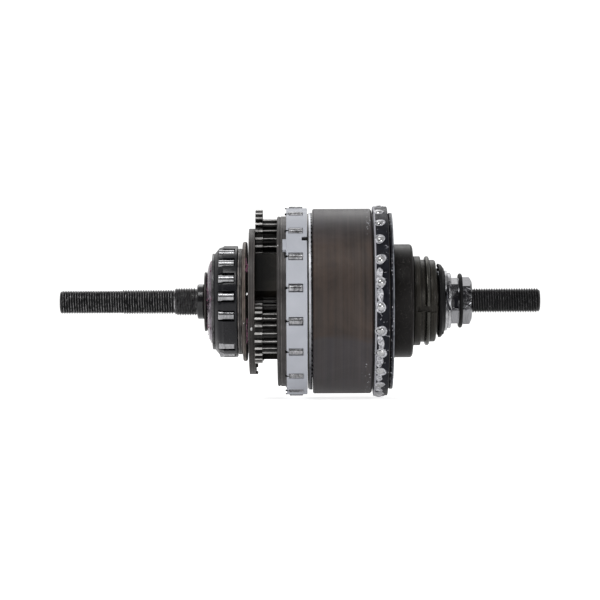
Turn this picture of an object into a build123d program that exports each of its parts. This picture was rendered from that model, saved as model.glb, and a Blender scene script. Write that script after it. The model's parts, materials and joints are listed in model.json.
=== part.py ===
from build123d import *

import os
from math import acos, cos, pi, radians, sin, tan

# The works of a planetary bicycle hub gear, without its hub shell and sprocket.
# It is drawn with the axle along Z, non-drive side at negative s, and the near side at -X.
# TO_ROW then lays the axle along Y, with +Y towards the non-drive side and +Z up.
# All sizes are in millimetres, radii are from the axle's line, and s is the place along it.

# ---- Axle ----
AXLE_END = 93.5
THREAD_R = 4.7625
FLAT_HALF = 4.38
FLATS_TO = -69.0
CONE_SEAT_R = 5.4
CONE_SEAT = (-48.6, -36.2)
RELIEF_R = 4.5
SEAT_RELIEF_R = 5.15
RELIEF = 0.6
COLLAR_FACE = -40.0
NUT_FACE = 66.8
END_CHAMFER = 0.8
CORE_R = 7.0
CORE_TO = 33.5
TONGUE_SEAT_R = 5.5
TONGUE_SEAT_TO = 58.75
RUN = 0.06
SEAT = 0.02

# ---- Gear train ----
MODULE = 0.9
PRESSURE = radians(20)
THINNING = 0.12
FLANK_STEPS = 3
ORBIT_R = 24.3
PLANETS_AT = (90, 210, 330)
PILLARS_AT = (150, 270, 30)
# each gear is (teeth, tip radius, root radius); an inner ring is (teeth, space root, space tip)
LARGE_PLANET = (24, 11.5, 9.85)
PINION = (15, 7.8, 5.8)
RIGHT_PLANET = (18, 8.85, 7.1)
SUN_1 = (30, 14.2, 12.6)
SUN_2 = (39, 18.25, 16.3)
SUN_3 = (36, 16.95, 15.25)
OUTPUT_RING = (69, 32.3, 30.35)
DRUM_RING = (72, 33.35, 31.65)
LARGE_AT = (-17.2, -14.35)
PINION_TO = 1.6
SUN_2_AT = (-14.1, -3.0)
RIGHT_AT = (6.7, 18.3)
PIN_R = 2.5
PIN_BORE_R = 2.56

# ---- Planet carrier ----
LEFT_PLATE_R = 28.4
LEFT_PLATE = (-19.7, -17.3)
MIDDLE_PLATE_R = 29.6
MIDDLE_PLATE = (3.0, 5.6)
RIGHT_PLATE_R = 30.0
RIGHT_PLATE = (19.0, 22.0)
PILLAR_INNER_R = 19.2
PILLAR_FLAT = 22.4
PILLAR_HALF = 8.3
STOP_LUG_AT = 270
HUB_TUBE_R = 13.5
HUB_TUBE_FROM = -34.0

# ---- Left roller clutch ----
LEFT_ROLLERS = 18
LEFT_EMPTY = (35, 155, 275)
LEFT_FIRST_DEG = 175
LEFT_ROLLER_R = 2.0
LEFT_ROLLER_AT = (-31.3, -25.2)
LEFT_ROLLER_PITCH_R = 19.8
LEFT_CAM_FLAT = 17.6
LEFT_CAGE_BORE = 18.3

# ---- Large roller clutch ----
ROLLERS = 18
ROLLERS_FIRST_DEG = 172
ROLLER_R = 1.5
ROLLER_PITCH_R = 35.4
CAM_FLAT = 33.7
CAGE_R = (34.4, 36.3)
CAGE_AT = (-5.2, 2.8)
WINDOW_AT = (-4.3, 1.2)
WINDOW_WIDTH = 3.3
RIM_R = 33.15
RIM_AT = (-8.8, -5.4)

# ---- Input drum and its ball row ----
DRUM_R = 36.0
DRUM_AT = (4.9, 27.7)
DRUM_BORE = 33.8
RACE_R = 34.0
BALL_R = 1.984
BALLS = 25
BALLS_FIRST_DEG = 183.5
BALL_PITCH_R = 35.6
BALL_AT = 30.5
RETAINER_R = (34.35, 36.85)
RETAINER_AT = (28.3, 33.8)
DUST_DISC_R = 34.3
DUST_DISC_AT = (34.2, 35.95)

# ---- Driver ----
COLLAR_R = 22.1
COLLAR_AT = (36.3, 43.7)
SNOUT_R = 17.4
SNOUT_GROOVE_R = 16.05
DRIVER_TUBE_R = 12.0
DRIVER_BORE = 8.3
DRIVER_FROM = 22.6
CUP_BORE = 13.36
DRIVER_BALL_R = 2.38
DRIVER_BALLS = 12
DRIVER_BALL_PITCH_R = 10.9
DRIVER_BALL_AT = 47.0
CONE_R = 8.44
SLOTS_AT = (191, 311, 71)

# ---- Shift parts ----
SLEEVE_R = (7.06, 7.95)
SLEEVE_FROM = -17.1
SUN_BORE = 8.02
SHIFT_TRAVEL = 60
TONGUE_R = (5.6, 6.3)
TONGUES_AT = (0, 180)
TONGUE_HALF_DEG = 20
PAWL_WIDTH = 2.2
PAWLS_AT = (90, 270)

TO_ROW = Rot(90, 0, 0)


# ---- Shared shapes ----


def turned(*corners):
    """A closed profile of (radius, s) or (radius, s, rounding) corners, spun about the axle."""
    face = make_face(Polyline(*[(c[0], c[1]) for c in corners], close=True)).face()
    for c in corners:
        if len(c) == 3:
            corner = face.vertices().sort_by_distance((c[0], c[1], 0))[0]
            face = face.fillet_2d(c[2], [corner])
    return revolve(Plane.XZ * face, Axis.Z)


def ring(r_in, r_out, low, high, rounding=0.0):
    if rounding:
        outer = [(r_out, low, rounding), (r_out, high, rounding)]
    else:
        outer = [(r_out, low), (r_out, high)]
    return turned((r_in, low), *outer, (r_in, high))


def rod(radius, low, high, at=(0, 0)):
    return Pos(at[0], at[1], (low + high) / 2) * Cylinder(radius, high - low)


def polar(radius, degree):
    return (radius * cos(radians(degree)), radius * sin(radians(degree)))


def radial_block(r_in, r_out, width, low, high, degree):
    """A block that stands out from the axle's line at one angle."""
    block = Pos((r_in + r_out) / 2, 0, (low + high) / 2) * Box(r_out - r_in, width, high - low)
    return Rot(0, 0, degree) * block


def sector(r_in, r_out, low, high, centre, half):
    """A ring's piece, from centre - half to centre + half degrees."""
    wedge = revolve(
        Plane.XZ * make_face(Polyline((r_in, low), (r_out, low), (r_out, high), (r_in, high), close=True)),
        Axis.Z,
        2 * half,
    )
    return Rot(0, 0, centre - half) * wedge


def write(name, shape):
    export_step(TO_ROW * shape, f"parts/{name}.step")


def group(shapes):
    return Compound([solid for shape in shapes for solid in shape.solids()])


# ---- Gears ----


def involute(angle):
    return tan(angle) - angle


def gear_face(gear, first, thinning=THINNING):
    """A spur gear's face with one tooth's centre at the angle first, in radians."""
    teeth, tip, root = gear
    pitch = MODULE * teeth / 2
    base = pitch * cos(PRESSURE)
    half = pi / (2 * teeth) - thinning / (2 * pitch) + involute(PRESSURE)
    start = max(base, root)
    radii = [start + (tip - start) * k / FLANK_STEPS for k in range(FLANK_STEPS + 1)]
    flank = [(r, half - involute(acos(min(1.0, base / r)))) for r in radii]
    if root < base:
        flank = [(root, flank[0][1])] + flank
    points = []
    for k in range(teeth):
        centre = first + 2 * pi * k / teeth
        points += [(r, centre - a) for r, a in flank]
        points += [(r, centre + a) for r, a in reversed(flank)]
    return make_face(Polyline(*[(r * cos(a), r * sin(a)) for r, a in points], close=True))


def gear_solid(gear, first, low, high, at=(0, 0)):
    return Pos(at[0], at[1], low) * extrude(gear_face(gear, first), high - low)


def ring_hole(gear, first, low, high):
    """The toothed hole of an inner ring: its spaces are as wide as a tooth plus the backlash."""
    return Pos(0, 0, low) * extrude(gear_face(gear, first, -THINNING), high - low)


def planet_phase(planet, sun, at):
    """The angle of a planet's tooth that puts it in mesh with a sun whose tooth is at 0."""
    place = radians(at)
    share = place * sun[0] / (2 * pi)
    return place + pi + 2 * pi / planet[0] * (share - 0.5)


def ring_phase(hole, planet, phase, at):
    """The angle of an inner ring's space that holds the planet's tooth at that place."""
    place = radians(at)
    share = (place - phase) * planet[0] / (2 * pi)
    return place - 2 * pi / hole[0] * share


# ---- Axle and what is fixed to it ----


def pawl_span(low, high):
    return (low + 0.3, high - 0.3)


SUNS = {"sun_gear_1": (SUN_1, LARGE_AT), "sun_gear_2": (SUN_2, SUN_2_AT), "sun_gear_3": (SUN_3, RIGHT_AT)}
LOCKED_SUNS = ("sun_gear_1", "sun_gear_3")


def axle():
    """The axle: each thread ends in a relief groove where a nut or a shoulder begins."""
    shaft = turned(
        (0, -AXLE_END),
        (THREAD_R - END_CHAMFER, -AXLE_END),
        (THREAD_R, -AXLE_END + END_CHAMFER),
        (THREAD_R, FLATS_TO - RELIEF),
        (RELIEF_R, FLATS_TO - RELIEF),
        (RELIEF_R, FLATS_TO),
        (THREAD_R, FLATS_TO),
        (THREAD_R, CONE_SEAT[0] - RELIEF),
        (RELIEF_R, CONE_SEAT[0] - RELIEF),
        (RELIEF_R, CONE_SEAT[0]),
        (CONE_SEAT_R - 0.3, CONE_SEAT[0]),
        (CONE_SEAT_R, CONE_SEAT[0] + 0.3),
        (CONE_SEAT_R, COLLAR_FACE - RELIEF - 0.05),
        (SEAT_RELIEF_R, COLLAR_FACE - RELIEF - 0.05),
        (SEAT_RELIEF_R, COLLAR_FACE - 0.05),
        (CONE_SEAT_R, COLLAR_FACE - 0.05),
        (CONE_SEAT_R, CONE_SEAT[1]),
        (CORE_R, CONE_SEAT[1]),
        (CORE_R, CORE_TO),
        (TONGUE_SEAT_R, CORE_TO),
        (TONGUE_SEAT_R, TONGUE_SEAT_TO),
        (THREAD_R, TONGUE_SEAT_TO),
        (THREAD_R, NUT_FACE + 0.05),
        (RELIEF_R, NUT_FACE + 0.05),
        (RELIEF_R, NUT_FACE + RELIEF + 0.05),
        (THREAD_R, NUT_FACE + RELIEF + 0.05),
        (THREAD_R, AXLE_END - END_CHAMFER),
        (THREAD_R - END_CHAMFER, AXLE_END),
        (0, AXLE_END),
    )
    length = FLATS_TO + AXLE_END
    middle = (FLATS_TO - AXLE_END) / 2
    for side in (-1, 1):
        shaft -= Pos(0, side * (FLAT_HALF + 1), middle) * Box(12, 2, length)
    for _, span in SUNS.values():
        for at in PAWLS_AT:
            low, high = pawl_span(*span)
            shaft -= radial_block(5.0, 8.0, PAWL_WIDTH + 0.1, low - 0.05, high + 0.05, at)
    return shaft


def sun_gear(name):
    """A sun gear whose bore has ratchet notches that the axle's pawls lock into."""
    gear, span = SUNS[name]
    body = gear_solid(gear, 0, *span) - rod(SUN_BORE, span[0] - 1, span[1] + 1)
    for k in range(12):
        body -= radial_block(7, 9.3, PAWL_WIDTH + 0.5, span[0] - 1, span[1] + 1, 30 * k)
    return body


def sun_pawls():
    """Two pawls to each sun: raised for the locked suns, folded into the axle for the free one."""
    pawls = []
    for name, (_, span) in SUNS.items():
        tip = 9.1 if name in LOCKED_SUNS else 6.9
        for at in PAWLS_AT:
            pawls.append(radial_block(5.1, tip, PAWL_WIDTH, *pawl_span(*span), at))
    return group(pawls)


def lock_collar():
    return ring(CONE_SEAT_R + SEAT, 6.8, COLLAR_FACE, -37.1, 0.7)


def tab_washer():
    return ring(CONE_SEAT_R + SEAT, 11.5, -37.1, -36.3, 0.15)


def right_cone():
    """The drive side cone: two ribs in its bore leave the shift tongues their room."""
    cone = turned(
        (6.5, 44.0),
        (CONE_R + 0.9, 44.0),
        (CONE_R + 0.9, 44.5),
        (CONE_R, 45.6),
        (CONE_R, 55.6, 0.4),
        (6.5, 55.6),
    )
    cone -= Pos(0, 0, DRIVER_BALL_AT) * Torus(DRIVER_BALL_PITCH_R, DRIVER_BALL_R + 0.07)
    for at in (90, 270):
        cone += sector(TONGUE_SEAT_R + SEAT, 6.6, 44.0, 55.6, at, 16)
    return cone


def hexagon(apothem, corner, low, high):
    """A six-sided prism with one corner at that angle."""
    return Pos(0, 0, low) * extrude(RegularPolygon(apothem, 6, major_radius=False, rotation=corner), high - low)


def lock_sleeve():
    """The six-sided sleeve behind the lock nut: a recess is cut in its near side."""
    sleeve = hexagon(8.0, 16.7, 58.8, 61.4) & ring(4, 9.15, 58.8, 61.4, 0.3)
    sleeve += rod(9.0, 61.4, 62.9)
    sleeve -= rod(THREAD_R + SEAT, 58, 64)
    return sleeve - radial_block(7.2, 10, 3.75, 59.7, 61.3, 187.2)


def sleeve_o_ring():
    return Pos(0, 0, 62.35) * Torus(9.85, 0.75)


def right_lock_nut():
    """A hexagon nut, 16 mm across its flats, with its outer corners rounded off."""
    nut = hexagon(8.05, 22.7, 63.0, NUT_FACE)
    nut &= turned((0, 62.0), (9.3, 62.0), (9.3, NUT_FACE - 0.9), (7.6, NUT_FACE), (0, NUT_FACE))
    return nut - rod(THREAD_R + SEAT, 62, 68)


# ---- Planet carrier ----


def pin_holes(radius):
    return [rod(radius, -30, 30, polar(ORBIT_R, at)) for at in PLANETS_AT]


def carrier_left_plate():
    """The left plate and its hub tube, with one hooked stop lug on the plate's inner face."""
    right = LEFT_PLATE[1]
    plate = ring(CORE_R + RUN, LEFT_PLATE_R, *LEFT_PLATE, 0.25)
    plate += ring(CORE_R + RUN, HUB_TUBE_R, HUB_TUBE_FROM, LEFT_PLATE[0] + 0.1)
    plate += sector(24.6, LEFT_PLATE_R - 0.05, right - 0.1, right + 0.9, STOP_LUG_AT, 9)
    plate -= radial_block(25.6, 27.2, 12, right + 0.3, right + 2, STOP_LUG_AT)
    for hole in pin_holes(PIN_R + SEAT):
        plate -= hole
    return plate


def planet_carrier():
    """Three pillars with a middle and a right plate: the planets' pins run through both."""
    low, high = LEFT_PLATE[1], RIGHT_PLATE[0]
    frame = ring(SLEEVE_R[1] + 0.35, MIDDLE_PLATE_R, *MIDDLE_PLATE)
    frame += ring(SLEEVE_R[1] + 0.35, RIGHT_PLATE_R, *RIGHT_PLATE)
    inside = rod(PILLAR_INNER_R, low - 1, high + 1)
    for at in PILLARS_AT:
        frame += radial_block(15, PILLAR_FLAT, 2 * PILLAR_HALF, low, high + 0.5, at) - inside
    for hole in pin_holes(PIN_R + SEAT):
        frame -= hole
    return frame


def planet_pins():
    return group(rod(PIN_R, -19.9, 23.0, polar(ORBIT_R, at)) for at in PLANETS_AT)


def pin_clips():
    """A snap ring round each pin's right end."""
    clips = []
    for at in PLANETS_AT:
        clip = ring(PIN_R + SEAT, 3.7, 22.05, 22.65) - radial_block(0, 5, 1.6, 21, 24, at)
        clips.append(Pos(*polar(ORBIT_R, at)) * clip)
    return group(clips)


def left_planet(at):
    """A stepped planet: the thin large gear and the long pinion are one piece."""
    place = polar(ORBIT_R, at)
    large = gear_solid(LARGE_PLANET, planet_phase(LARGE_PLANET, SUN_1, at), *LARGE_AT, place)
    pinion = gear_solid(PINION, planet_phase(PINION, SUN_2, at), LARGE_AT[1] - 0.1, PINION_TO, place)
    return large + pinion - rod(PIN_BORE_R, -20, 5, place)


def right_planet(at):
    place = polar(ORBIT_R, at)
    gear = gear_solid(RIGHT_PLANET, planet_phase(RIGHT_PLANET, SUN_3, at), *RIGHT_AT, place)
    return gear - rod(PIN_BORE_R, 0, 20, place)


# ---- Left roller clutch ----


def end_cap():
    """The domed dust cap over the hub tube's end."""
    return turned(
        (CORE_R + 0.3, -36.1),
        (11.8, -36.0),
        (14.0, -35.5),
        (15.6, -34.9),
        (16.3, -34.1),
        (CORE_R + 0.3, -34.1),
    )


def left_clutch_cam():
    """The cam that wedges the left rollers outwards: one flat under each roller."""
    turn = LEFT_FIRST_DEG
    face = RegularPolygon(LEFT_CAM_FLAT, LEFT_ROLLERS, major_radius=False, rotation=turn + 10)
    cam = Pos(0, 0, -32.8) * extrude(face, 8.7)
    return cam - rod(HUB_TUBE_R + SEAT, -40, -20)


def left_places():
    """The angles of the left clutch's rollers: three of the even places hold none."""
    step = 360 / LEFT_ROLLERS
    return [
        LEFT_FIRST_DEG + step * k
        for k in range(LEFT_ROLLERS)
        if (LEFT_FIRST_DEG - 180 + step * k) % 360 not in LEFT_EMPTY
    ]


def left_roller_cage():
    cage = turned(
        (LEFT_CAGE_BORE, -32.9),
        (18.9, -32.9),
        (20.9, -31.2),
        (21.3, -29.8),
        (21.7, -29.4),
        (21.7, -24.1, 0.3),
        (LEFT_CAGE_BORE, -24.1),
    )
    low, high = LEFT_ROLLER_AT
    for at in left_places():
        cage -= radial_block(17, 24, 2 * LEFT_ROLLER_R + 0.3, low - 0.15, high + 0.15, at)
    return cage


def rollers(radius, pitch_r, places, span):
    low, high = span
    solids = []
    for at in places:
        roller = chamfer(Cylinder(radius, high - low).edges().filter_by(GeomType.CIRCLE), 0.2)
        solids.append(Pos(*polar(pitch_r, at), (low + high) / 2) * roller)
    return group(solids)


# ---- Output ring and the large roller clutch ----


def large_places():
    return [ROLLERS_FIRST_DEG + 360 / ROLLERS * k for k in range(ROLLERS)]


def output_ring_gear():
    """The inner ring gear that the pinions drive: its outside is the large clutch's cam."""
    body = turned(
        (29, RIM_AT[0]),
        (RIM_R, RIM_AT[0], 0.8),
        (RIM_R, -7.9),
        (RIM_R - 0.25, -7.8),
        (RIM_R - 0.25, -7.4),
        (RIM_R, -7.3),
        (RIM_R, RIM_AT[1]),
        (29, RIM_AT[1]),
    )
    cam = RegularPolygon(CAM_FLAT, ROLLERS, major_radius=False, rotation=ROLLERS_FIRST_DEG + 10)
    body += Pos(0, 0, RIM_AT[1]) * extrude(cam, 2.8 - RIM_AT[1])
    phase = planet_phase(PINION, SUN_2, PLANETS_AT[0])
    return body - ring_hole(OUTPUT_RING, ring_phase(OUTPUT_RING, PINION, phase, PLANETS_AT[0]), -10, 4)


def large_cage_spring():
    """The flat open ring that pushes the cage to its engaged side."""
    return ring(32.6, 34.1, 2.95, 3.3) - radial_block(30, 36, 4, 2, 4, 20)


def serrated_ring():
    """The thrust ring between the output ring and the drum, notched along its right edge."""
    body = ring(31.2, 34.5, 3.4, 4.7)
    count = 88
    return body - [radial_block(33.8, 35, 1.1, 4.15, 5, 360 / count * k) for k in range(count)]


def large_roller_cage():
    """The cage's windows, the small nick beside each, one stop tab and one deep notch."""
    cage = ring(*CAGE_R, *CAGE_AT, 0.3)
    low, high = WINDOW_AT
    for at in large_places():
        cage -= radial_block(33, 38, WINDOW_WIDTH, low, high, at)
        cage -= radial_block(35.6, 38, 0.9, CAGE_AT[0] - 1, CAGE_AT[0] + 0.45, at)
    cage += sector(CAGE_R[0], 36.0, CAGE_AT[0] - 1.35, CAGE_AT[0] + 0.6, 143, 4)
    return cage - radial_block(33, 38, 1.9, 0.7, 4, 139)


# ---- Input drum ----


def input_drum():
    """The drum with the right ring gear inside."""
    low, high = DRUM_AT
    body = turned(
        (DRUM_BORE, low),
        (DRUM_R - 0.45, low),
        (DRUM_R, low + 0.45),
        (DRUM_R, high - 0.6),
        (DRUM_R - 0.6, high),
        (DRUM_BORE, high),
        (DRUM_BORE, 18.9),
        (29, 18.9),
        (29, 6.4),
        (DRUM_BORE, 6.4),
    )
    phase = planet_phase(RIGHT_PLANET, SUN_3, PLANETS_AT[0])
    return body - ring_hole(DRUM_RING, ring_phase(DRUM_RING, RIGHT_PLANET, phase, PLANETS_AT[0]), 6, 20)


def input_end_race():
    """The end flange: it closes the drum, takes the driver's torque and is the big ball race."""
    body = turned(
        (DRIVER_TUBE_R + SEAT, 24.6),
        (DRUM_BORE - SEAT, 24.6),
        (DRUM_BORE - SEAT, 27.8),
        (RACE_R, 27.9),
        (RACE_R, 34.1),
        (30.0, 34.1),
        (30.0, 27.6),
        (DRIVER_TUBE_R + SEAT, 27.6),
    )
    return body - Pos(0, 0, BALL_AT) * Torus(BALL_PITCH_R, BALL_R + 0.06)


def ball_places(count, first):
    return [first + 360 / count * k for k in range(count)]


def ball_row(radius, pitch_r, places, at):
    return group(Pos(*polar(pitch_r, a), at) * Sphere(radius) for a in places)


def right_ball_retainer():
    cage = ring(*RETAINER_R, *RETAINER_AT, 0.3)
    for at in ball_places(BALLS, BALLS_FIRST_DEG):
        pocket = Pos(BALL_PITCH_R, 0, BALL_AT) * Rot(0, 90, 0) * Cylinder(BALL_R + 0.12, 8)
        cage -= Rot(0, 0, at) * pocket
    return cage


def dust_disc():
    low, high = DUST_DISC_AT
    return turned(
        (16.3, low),
        (DUST_DISC_R - 0.4, low),
        (DUST_DISC_R, low + 0.4),
        (DUST_DISC_R, high - 0.2),
        (DUST_DISC_R - 0.8, high - 0.2),
        (DUST_DISC_R - 1.2, high - 0.7),
        (16.3, high - 0.7),
    )


# ---- Driver ----


def driver_body():
    """The driver: tube, collar and splined snout, with the ball cup inside."""
    body = turned(
        (DRIVER_BORE, DRIVER_FROM),
        (DRIVER_TUBE_R, DRIVER_FROM),
        (DRIVER_TUBE_R, 33.0),
        (16.2, 33.6),
        (16.2, COLLAR_AT[0]),
        (COLLAR_R, COLLAR_AT[0], 0.3),
        (COLLAR_R, COLLAR_AT[1], 1.3),
        (16.6, COLLAR_AT[1]),
        (16.6, 44.1),
        (SNOUT_R, 44.1, 0.3),
        (SNOUT_R, 46.7, 0.3),
        (SNOUT_GROOVE_R, 46.8),
        (SNOUT_GROOVE_R, 48.35),
        (15.4, 48.35),
        (15.4, 50.25),
        (15.95, 50.35),
        (15.95, 52.7, 0.9),
        (12.6, 52.7),
        (12.6, 53.4),
        (12.0, 53.4),
        (12.0, 51.0),
        (CUP_BORE, 50.2),
        (CUP_BORE, 43.2),
        (DRIVER_BORE, 42.0),
    )
    for at in SLOTS_AT:
        body -= radial_block(15.0, 20, 2.0, 45.2, 50.3, at)
        body -= radial_block(15.0, 20, 3.2, 50.2, 54, at)
    return body


def sprocket_snap_ring():
    """A round open ring in the driver's outer groove."""
    return ring(15.45, 17.4, 48.45, 50.15, 0.8) - radial_block(14, 19, 2.4, 48, 51, SLOTS_AT[0])


def driver_seal():
    """The rubber lip seal round the cone."""
    return turned(
        (9.0, 53.5),
        (13.0, 53.5),
        (14.2, 53.9, 0.3),
        (14.2, 54.8, 0.4),
        (12.6, 56.0),
        (9.0, 56.0),
    )


def driver_ball_retainer():
    cage = ring(10.2, 11.7, 43.9, 50.1, 0.2)
    for at in ball_places(DRIVER_BALLS, 0):
        pocket = Pos(DRIVER_BALL_PITCH_R, 0, DRIVER_BALL_AT) * Rot(0, 90, 0) * Cylinder(DRIVER_BALL_R + 0.1, 8)
        cage -= Rot(0, 0, at) * pocket
    return cage


# ---- Shift parts ----


def shift_cam_sleeve():
    """The sleeve that covers or frees the pawls, and the two tongues that turn it."""
    sleeve = turned(
        (SLEEVE_R[0], SLEEVE_FROM),
        (SLEEVE_R[1], SLEEVE_FROM),
        (SLEEVE_R[1], 36.0),
        (TONGUE_R[0] - 0.04, 36.0),
        (TONGUE_R[0] - 0.04, CORE_TO + 0.4),
        (SLEEVE_R[0], CORE_TO + 0.4),
    )
    for name in LOCKED_SUNS:
        low, high = SUNS[name][1]
        for at in PAWLS_AT:
            middle = at + SHIFT_TRAVEL / 2
            sleeve -= sector(6.6, 9, low + 0.2, high - 0.2, middle, SHIFT_TRAVEL / 2 + 12)
    for at in TONGUES_AT:
        sleeve += sector(*TONGUE_R, 35.5, 56.3, at + 50, TONGUE_HALF_DEG)
    return sleeve


def shift_actuator():
    """The part the rider's shift box turns: a thin flange with two drive notches, and a collar."""
    flange = ring(TONGUE_R[0], 11.7, 56.3, 57.1)
    collar = ring(TONGUE_R[0], 10.8, 57.1, 58.7, 0.5)
    body = flange + collar
    for at in (187.3, 7.3):
        body -= radial_block(9.8, 13, 4.9, 57.3, 60, at)
    for at in (140, 320):
        body -= radial_block(10.0, 13, 1.6, 57.6, 58.3, at)
    return body


def return_spring():
    """The coil spring that brings the shift parts back."""
    path = Pos(0, 0, 37.0) * Helix(pitch=1.4, height=5.6, radius=7.35)
    section = Plane(origin=path @ 0, z_dir=path % 0) * Circle(0.33)
    return sweep(section, path=path)


def main():
    os.makedirs("parts", exist_ok=True)
    parts = {
        "axle": axle(),
        "sun_pawls": sun_pawls(),
        "left_lock_collar": lock_collar(),
        "left_tab_washer": tab_washer(),
        "right_cone": right_cone(),
        "right_lock_sleeve": lock_sleeve(),
        "sleeve_o_ring": sleeve_o_ring(),
        "right_lock_nut": right_lock_nut(),
        "actuator_return_spring": return_spring(),
        "carrier_left_plate": carrier_left_plate(),
        "planet_carrier": planet_carrier(),
        "planet_pins": planet_pins(),
        "planet_pin_clips": pin_clips(),
        "carrier_end_cap": end_cap(),
        "left_clutch_cam": left_clutch_cam(),
        "left_retaining_ring": ring(HUB_TUBE_R + SEAT, 18.7, -34.0, -33.0, 0.2),
        "left_thrust_ring": ring(HUB_TUBE_R + SEAT, 20.65, -23.9, -22.4, 0.2),
        "left_friction_disc": ring(HUB_TUBE_R + SEAT, 23.3, -22.2, -20.4, 0.75),
        "left_roller_cage": left_roller_cage(),
        "left_clutch_rollers": rollers(LEFT_ROLLER_R, LEFT_ROLLER_PITCH_R, left_places(), LEFT_ROLLER_AT),
        "output_ring_gear": output_ring_gear(),
        "large_cage_spring": large_cage_spring(),
        "serrated_thrust_ring": serrated_ring(),
        "large_roller_cage": large_roller_cage(),
        "large_clutch_rollers": rollers(ROLLER_R, ROLLER_PITCH_R, large_places(), (-4.2, 1.1)),
        "input_drum": input_drum(),
        "input_end_race": input_end_race(),
        "right_ball_retainer": right_ball_retainer(),
        "right_bearing_balls": ball_row(BALL_R, BALL_PITCH_R, ball_places(BALLS, BALLS_FIRST_DEG), BALL_AT),
        "dust_disc": dust_disc(),
        "driver_body": driver_body(),
        "sprocket_snap_ring": sprocket_snap_ring(),
        "driver_seal": driver_seal(),
        "driver_ball_retainer": driver_ball_retainer(),
        "driver_balls": ball_row(
            DRIVER_BALL_R, DRIVER_BALL_PITCH_R, ball_places(DRIVER_BALLS, 0), DRIVER_BALL_AT
        ),
        "shift_cam_sleeve": shift_cam_sleeve(),
        "shift_actuator": shift_actuator(),
    }
    for name in SUNS:
        parts[name] = sun_gear(name)
    for number, at in enumerate(PLANETS_AT, 1):
        parts[f"left_planet_{number}"] = left_planet(at)
        parts[f"right_planet_{number}"] = right_planet(at)
    for name, shape in parts.items():
        write(name, shape)


main()
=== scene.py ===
import json
import math
import random

import bmesh
import bpy
from mathutils import Matrix, Vector

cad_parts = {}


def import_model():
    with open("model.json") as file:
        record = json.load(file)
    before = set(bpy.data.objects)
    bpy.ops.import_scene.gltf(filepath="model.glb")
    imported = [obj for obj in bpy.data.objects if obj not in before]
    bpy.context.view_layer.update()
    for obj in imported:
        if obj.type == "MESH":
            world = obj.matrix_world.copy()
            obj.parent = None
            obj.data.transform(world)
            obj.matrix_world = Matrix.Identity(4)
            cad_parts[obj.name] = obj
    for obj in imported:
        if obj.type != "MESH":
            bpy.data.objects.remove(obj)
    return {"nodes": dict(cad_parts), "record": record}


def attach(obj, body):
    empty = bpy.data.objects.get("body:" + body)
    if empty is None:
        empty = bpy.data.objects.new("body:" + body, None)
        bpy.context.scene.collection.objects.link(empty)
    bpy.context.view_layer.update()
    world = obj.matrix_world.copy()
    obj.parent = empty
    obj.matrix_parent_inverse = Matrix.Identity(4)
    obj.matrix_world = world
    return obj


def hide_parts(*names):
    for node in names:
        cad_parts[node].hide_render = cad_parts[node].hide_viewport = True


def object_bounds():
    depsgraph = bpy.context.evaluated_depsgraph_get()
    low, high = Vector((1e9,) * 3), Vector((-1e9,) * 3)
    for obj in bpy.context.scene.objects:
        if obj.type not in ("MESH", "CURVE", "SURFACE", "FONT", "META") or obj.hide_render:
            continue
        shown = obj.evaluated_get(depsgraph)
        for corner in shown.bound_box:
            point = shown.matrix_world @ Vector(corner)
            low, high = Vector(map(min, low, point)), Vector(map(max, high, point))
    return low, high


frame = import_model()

# The hub gear's axle lies along Y, with the non-drive side at +Y, and the camera looks along +X.
# s is the place along the axle in millimetres, positive towards the drive side, so y = -s / 1000.
# Angles round the axle are in degrees: 0 faces the camera and 90 is the lowest point.

CAD_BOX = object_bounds()
MM = 0.001

# Millimetres and degrees, as on the CAD model that these pieces sit on.
THREAD_R = 4.7625
SEAT_THREAD_R = 5.4
CORE_R = 7.0
AXLE_END = 93.5
FLATS_UP_TO = -69.0
FLATS_HALF = 4.38
RECESS_AT = (59.75, 61.25)
RECESS_R = 7.75
DUST_RIM_R = (33.6, 33.9)
ORBIT_R = 24.3
PLANETS_AT = (90, 210, 330)
LARGE_PLANET_TIP_R = 11.5
PINION_TIP_R = 7.8
RIGHT_PLANET_TIP_R = 8.85
BALLS = 25
FIRST_BALL_AT = 3.5
BALL_ROW_AT = 30.45
WINDOWS = 18
FIRST_WINDOW_AT = -8
CAGE_R = 36.3
EDGE_ROUNDING = 0.00012


# ---- Materials ----


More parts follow.
